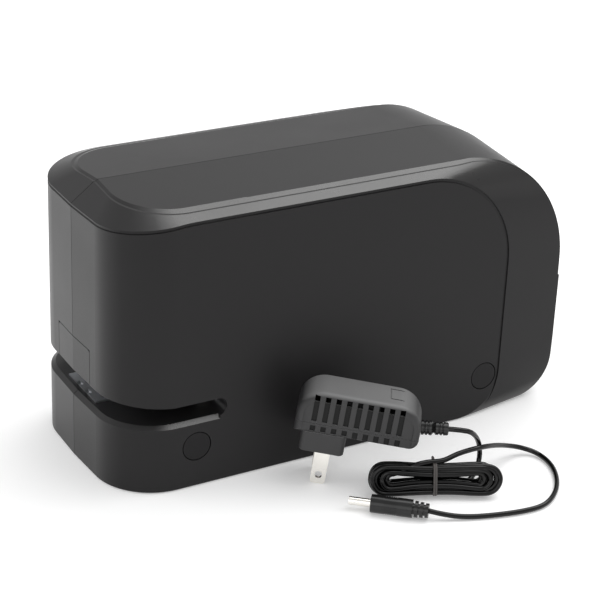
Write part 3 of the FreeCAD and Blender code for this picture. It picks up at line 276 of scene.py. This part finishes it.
def casing_material():
    """Black casing in three finishes, by which way the surface faces: dull sides, satin, glossy bevels. The
    bevels' lighter base colour is a painted highlight, and the sides' weaker reflection is painted shade.
    """
    material, tree, plain_shader = new_material("casing")
    tree.nodes.remove(plain_shader)
    where = coordinates(tree)
    surface = tree.nodes.new("ShaderNodeNewGeometry")
    normal = tree.nodes.new("ShaderNodeSeparateXYZ")
    tree.links.new(surface.outputs["Normal"], normal.inputs["Vector"])

    sideways = mapped(tree, math_node(tree, "ABSOLUTE", normal.outputs["X"]), 0.0, 1.0, 0.15, 0.6)
    upright = mapped(tree, math_node(tree, "ABSOLUTE", normal.outputs["Z"]), 1.0, 0.0, 0.3, 0.5)
    dull = math_node(tree, "MULTIPLY", sideways, upright)
    slow = noise(tree, where, 35.0)
    fine = noise(tree, where, 1900.0, 3.0)
    grain = noise(tree, where, 5200.0, 2.0)
    height = math_node(tree, "ADD", fine, grain)
    bumped = bumped_normal(tree, height, 0.16, 0.08 * MM)
    satin = principled(tree, mixed(tree, slow, (0.011, 0.0105, 0.011), (0.014, 0.0135, 0.014)),
                       mapped(tree, slow, 0.34, 0.39), bumped, 0.36)
    # painted shade: the dull sides reflect less than the satin plastic, so they look darker
    matte_and_painted_shade = principled(tree, mixed(tree, slow, (0.011, 0.0105, 0.011), (0.014, 0.0135, 0.014)),
                       mapped(tree, slow, 0.42, 0.48), bumped, 0.2)
    # painted highlight: the glossy bevels have a lighter base colour and a stronger reflection than the rest
    # of the black plastic
    gloss = principled(tree, mixed(tree, slow, (0.018, 0.0175, 0.0165), (0.022, 0.021, 0.020)),
                       mapped(tree, slow, 0.26, 0.32), bumped, 0.7)
    slanted = math_node(tree, "MULTIPLY", math_node(tree, "ABSOLUTE", normal.outputs["X"]),
                        math_node(tree, "ABSOLUTE", normal.outputs["Z"]))
    lengthwise = mapped(tree, math_node(tree, "ABSOLUTE", normal.outputs["Y"]), 1.0, 0.0, 0.08, 0.22)
    bevel = math_node(tree, "MULTIPLY", mapped(tree, slanted, 0.0, 1.0, 0.15, 0.25), lengthwise)
    surface_shader = mix_shaders(tree, bevel, mix_shaders(tree, dull, satin, matte_and_painted_shade), gloss)
    tree.links.new(surface_shader, tree.nodes["Material Output"].inputs["Surface"])
    return material


ADAPTER_AT = (54.6, 76.2, 26.18)        # middle of the adapter's front lower edge
ADAPTER_YAW = math.radians(34)
GROOVE_FLOOR, PANEL_FLOOR = 9.2, 9.7    # distances of the ribbed sides' two levels from its middle plane


def adapter_material():
    """Fine texture; a lighter grey on faces that point up, which is painted light, and a darker one in the
    side grooves, which is painted shade.
    """
    material, tree, shader = new_material("adapter_black")
    where = coordinates(tree)
    surface = tree.nodes.new("ShaderNodeNewGeometry")
    normal = tree.nodes.new("ShaderNodeSeparateXYZ")
    tree.links.new(surface.outputs["Normal"], normal.inputs["Vector"])
    slow = noise(tree, where, 60.0)
    # painted light: faces that point up get a lighter grey than the sides
    painted_top_light = mapped(tree, normal.outputs["Z"], 0.0, 1.0, 0.55, 0.95)
    shade = tree.nodes.new("ShaderNodeMix")
    shade.data_type = "RGBA"
    tree.links.new(painted_top_light, shade.inputs["Factor"])
    tree.links.new(mixed(tree, slow, (0.024, 0.024, 0.025), (0.031, 0.0305, 0.031)), shade.inputs["A"])
    tree.links.new(mixed(tree, slow, (0.16, 0.16, 0.161), (0.19, 0.19, 0.19)), shade.inputs["B"])
    tree.links.new(shade.outputs["Result"], shader.inputs["Base Color"])
    tree.links.new(mapped(tree, slow, 0.5, 0.6), shader.inputs["Roughness"])
    bump(tree, shader, noise(tree, where, 1500.0, 3.0), 0.2, 0.1 * MM)
    shader.inputs["Specular IOR Level"].default_value = 0.45
    sideways = Vector((math.cos(ADAPTER_YAW), -math.sin(ADAPTER_YAW), 0.0))
    distances = []
    for source, origin in ((where, place(*ADAPTER_AT)), (surface.outputs["Normal"], Vector((0, 0, 0)))):
        product = tree.nodes.new("ShaderNodeVectorMath")
        product.operation = "DOT_PRODUCT"
        shifted = tree.nodes.new("ShaderNodeVectorMath")
        shifted.operation = "SUBTRACT"
        tree.links.new(source, shifted.inputs[0])
        shifted.inputs[1].default_value = origin
        tree.links.new(shifted.outputs["Vector"], product.inputs[0])
        product.inputs[1].default_value = sideways
        distances.append(math_node(tree, "ABSOLUTE", product.outputs["Value"]))
    from_middle, facing = distances
    # painted shade: the side grooves, below the panel level, get a darker, duller plastic
    level = (GROOVE_FLOOR + PANEL_FLOOR) / 2 * MM
    deep = math_node(tree, "MULTIPLY", mapped(tree, from_middle, 1.0, 0.0, level, level + 0.1 * MM),
                     mapped(tree, facing, 0.0, 1.0, 0.8, 0.9))
    dark = principled(tree, mixed(tree, slow, (0.008, 0.008, 0.008), (0.011, 0.011, 0.011)),
                      mapped(tree, slow, 0.6, 0.7), tree.nodes["Bump"].outputs["Normal"], 0.22)
    tree.links.new(mix_shaders(tree, deep, shader.outputs["BSDF"], dark),
                   tree.nodes["Material Output"].inputs["Surface"])
    return material


casing = casing_material()
plain_black = plastic("plain_black", (0.016, 0.016, 0.017), (0.021, 0.021, 0.022), 0.38)
cap_black = plastic("cap_black", (0.008, 0.008, 0.008), (0.012, 0.011, 0.012), 0.36, specular=0.16)
adapter_black = adapter_material()
part_black = plastic("part_black", (0.02, 0.02, 0.021), (0.03, 0.03, 0.03), 0.5)
foot_rubber = plastic("foot_rubber", (0.02, 0.02, 0.02), (0.035, 0.035, 0.035), 0.8, 900.0, 0.4)
nylon = plastic("nylon", (0.62, 0.61, 0.56), (0.72, 0.71, 0.66), 0.45, 1200.0, 0.15)
board_green = plastic("board_green", (0.01, 0.08, 0.03), (0.02, 0.12, 0.045), 0.35, 700.0, 0.3)
cord_black = plastic("cord_black", (0.002, 0.002, 0.002), (0.004, 0.004, 0.004), 0.1, 700.0, 0.03, 0.3)
plug_black = plastic("plug_black", (0.006, 0.006, 0.006), (0.010, 0.010, 0.010), 0.24, 700.0, 0.06, 0.4)
tie_dark = plastic("tie_dark", (0.055, 0.05, 0.048), (0.09, 0.08, 0.075), 0.45, 900.0, 0.3)
steel = metal("steel", (0.52, 0.53, 0.55), (0.66, 0.67, 0.69), 0.3)
galvanised = metal("galvanised", (0.42, 0.44, 0.46), (0.58, 0.6, 0.62), 0.42, (120.0, 160.0, 160.0))
staple_steel = metal("staple_steel", (0.5, 0.51, 0.53), (0.68, 0.69, 0.71), 0.25, (60.0, 1600.0, 200.0), 0.2)
nickel = metal("nickel", (0.80, 0.78, 0.74), (0.92, 0.90, 0.85), 0.24, (300.0, 300.0, 60.0))
brass = metal("brass", (0.55, 0.40, 0.16), (0.68, 0.52, 0.24), 0.35)

LOOKS = {
    casing: ("right_shell", "left_shell", "magazine_front"),
    cap_black: ("screw_covers",),
    plain_black: ("release_button",),
    foot_rubber: ("rubber_feet",),
    steel: ("anvil", "nose_plate", "pusher_rod", "pusher_spring", "release_rod", "driver_blade", "ram_pin",
            "arm_roller", "roller_axle", "arm_return_spring", "pivot_pins", "cam", "cam_shaft", "gear_axles",
            "motor_shaft", "frame_spacers", "gearbox_standoffs", "case_screws"),
    galvanised: ("magazine_channel", "magazine_guide", "driver_guide_plate", "hammer_arm", "motor_can",
                 "left_frame_plate", "right_frame_plate", "gearbox_plate"),
    staple_steel: ("staple_strip",),
    nylon: ("staple_pusher", "magazine_latch", "ram_carrier", "ram_guides", "cam_gear", "second_gear",
            "first_gear", "paper_trigger"),
    brass: ("cam_bushes", "motor_pinion"),
    board_green: ("circuit_board",),
    part_black: ("adapter_board", "board_components", "paper_switch", "home_switch", "dc_jack"),
    adapter_black: ("adapter_upper", "adapter_lower"),
    nickel: ("adapter_blades", "dc_plug_barrel"),
    plug_black: ("adapter_strain_relief", "dc_plug_grip"),
    cord_black: ("cord_from_adapter", "cord_hank", "cord_to_plug"),
    tie_dark: ("cord_tie",),
}
for material, names in LOOKS.items():
    for name in names:
        piece = nodes[name]
        piece.data.materials.clear()
        piece.data.materials.append(material)
curve.materials.append(cord_black)


# ---- pieces on the cord -----------------------------------------------------------------------
TIE_R = 0.45            # radius of the coated wire
TIE_HALF = (6.6, 4.2)   # half height and half depth of the tie's loop round the hank


def tie_band():
    """A coated wire tie drawn twice round the middle of the hank, with its two twisted ends on top."""
    data = bpy.data.curves.new("tie", "CURVE")
    data.dimensions = "3D"
    high, deep = TIE_HALF
    lift = high + 1.0
    loop = [(0.0, high, 0.0), (0.0, high, deep), (0.1, 0.0, deep), (0.2, -high, deep), (0.3, -high, 0.0),
            (0.4, -high, -deep), (0.5, 0.0, -deep), (0.6, high, -deep), (0.7, high, 0.0),
            (0.8, high, deep), (0.9, 0.0, deep), (1.0, -high, deep), (1.1, -high, 0.0),
            (1.2, -high, -deep), (1.3, 0.0, -deep), (1.4, high, -deep), (1.5, high, 0.0)]
    first = [(0.4, lift + 1.1, -1.4), (-0.5, lift + 0.5, -1.1), (0.5, lift, -0.7), (-0.3, lift - 0.6, -0.5)]
    second = [(0.8, lift - 0.6, -0.4), (-0.4, lift, -0.9), (0.6, lift + 0.6, -1.3), (-0.4, lift + 1.2, -1.8)]
    spline_points = first + loop + second
    wire = data.splines.new("NURBS")
    wire.points.add(len(spline_points) - 1)
    for point, (along, height, depth) in zip(wire.points, spline_points):
        point.co = (*place(*hank_place(along - 0.75, height, depth)), 1.0)
    wire.order_u = 3
    wire.use_endpoint_u = True
    data.bevel_depth = TIE_R * MM
    data.bevel_resolution = 3
    data.use_fill_caps = True
    data.materials.append(tie_dark)
    made = bpy.data.objects.new("tie", data)
    bpy.context.scene.collection.objects.link(made)
    return made


tie = tie_band()

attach(cord, "housing")
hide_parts("cord_from_adapter", "cord_hank", "cord_to_plug")
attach(tie, "housing")
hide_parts("cord_tie")
place(*LEAD_IN[0])


# ---- studio -----------------------------------------------------------------------------------
FLOOR_HALF = 3.0


def studio_floor():
    corners = [(x * FLOOR_HALF, y * FLOOR_HALF, 0) for x, y in ((-1, -1), (1, -1), (1, 1), (-1, 1))]
    floor_mesh = bpy.data.meshes.new("floor")
    floor_mesh.from_pydata(corners, [], [(0, 1, 2, 3)])
    floor = bpy.data.objects.new("floor", floor_mesh)
    bpy.context.scene.collection.objects.link(floor)
    material, tree, shader = new_material("floor")
    where = coordinates(tree)
    tone = noise(tree, where, 3.0)
    tree.links.new(mixed(tree, tone, (0.86, 0.86, 0.86), (0.88, 0.88, 0.88)), shader.inputs["Base Color"])
    shader.inputs["Roughness"].default_value = 0.9
    shader.inputs["Specular IOR Level"].default_value = 0.1
    shader.inputs["Emission Color"].default_value = (1.0, 1.0, 1.0, 1.0)
    shader.inputs["Emission Strength"].default_value = 0.22
    floor_mesh.materials.append(material)


def area_light(name, at, aim, size, power, tint=(1.0, 1.0, 1.0)):
    data = bpy.data.lights.new(name, "AREA")
    data.shape = "RECTANGLE"
    data.size, data.size_y = size
    data.energy = power
    data.color = tint
    light = bpy.data.objects.new(name, data)
    bpy.context.scene.collection.objects.link(light)
    light.location = at
    light.rotation_mode = "QUATERNION"
    light.rotation_quaternion = (Vector(aim) - Vector(at)).to_track_quat("-Z", "Y")


studio_floor()
area_light("top", (-0.1, 0.6, 1.25), (0.0, 0.0, 0.1), (1.3, 1.3), 14.0)
area_light("front_left", (-0.6, -1.2, 0.5), (0.0, -0.1, 0.07), (0.9, 0.9), 5.0)
area_light("fill", (1.2, -0.9, 0.7), (0.05, 0.0, 0.05), (1.0, 1.0), 4.0)

world = bpy.data.worlds.new("world")
world.use_nodes = True
background = world.node_tree.nodes["Background"]
background.inputs["Color"].default_value = (1.0, 1.0, 1.0, 1.0)
background.inputs["Strength"].default_value = 0.68
bpy.context.scene.world = world
bpy.context.scene.view_settings.view_transform = "Standard"
